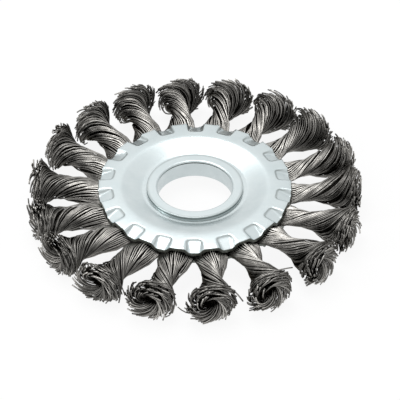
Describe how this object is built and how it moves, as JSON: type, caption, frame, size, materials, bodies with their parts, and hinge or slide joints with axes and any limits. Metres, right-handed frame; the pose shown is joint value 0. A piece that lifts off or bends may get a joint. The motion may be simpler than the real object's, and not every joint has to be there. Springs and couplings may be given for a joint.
{
  "type": "wire wheel brush",
  "caption": "Flat wheel brush whose twisted knots of steel wire stand out from between two dished, pressed side plates round a raised, lined bore.",
  "frame": {"origin": "centre of the bore, half way between the two side plates", "axes": "+Z along the bore axis, out of the front plate; the first knot stands 19.4 degrees counter-clockwise from +X"},
  "size_m": [0.0963, 0.098, 0.0126],
  "materials": {
    "plate": "satin zinc plate",
    "eyelet": "satin zinc plate",
    "ring": "plain steel",
    "wire": "drawn dark steel wire"
  },
  "bodies": {
    "root": {"front_plate": "plate", "rear_plate": "plate", "bore_eyelet": "eyelet", "holding_ring": "ring", "knot_01": "wire", "knot_02": "wire", "knot_03": "wire", "knot_04": "wire", "knot_05": "wire", "knot_06": "wire", "knot_07": "wire", "knot_08": "wire", "knot_09": "wire", "knot_10": "wire", "knot_11": "wire", "knot_12": "wire", "knot_13": "wire", "knot_14": "wire", "knot_15": "wire", "knot_16": "wire", "knot_17": "wire", "knot_18": "wire"}
  },
  "joints": []
}
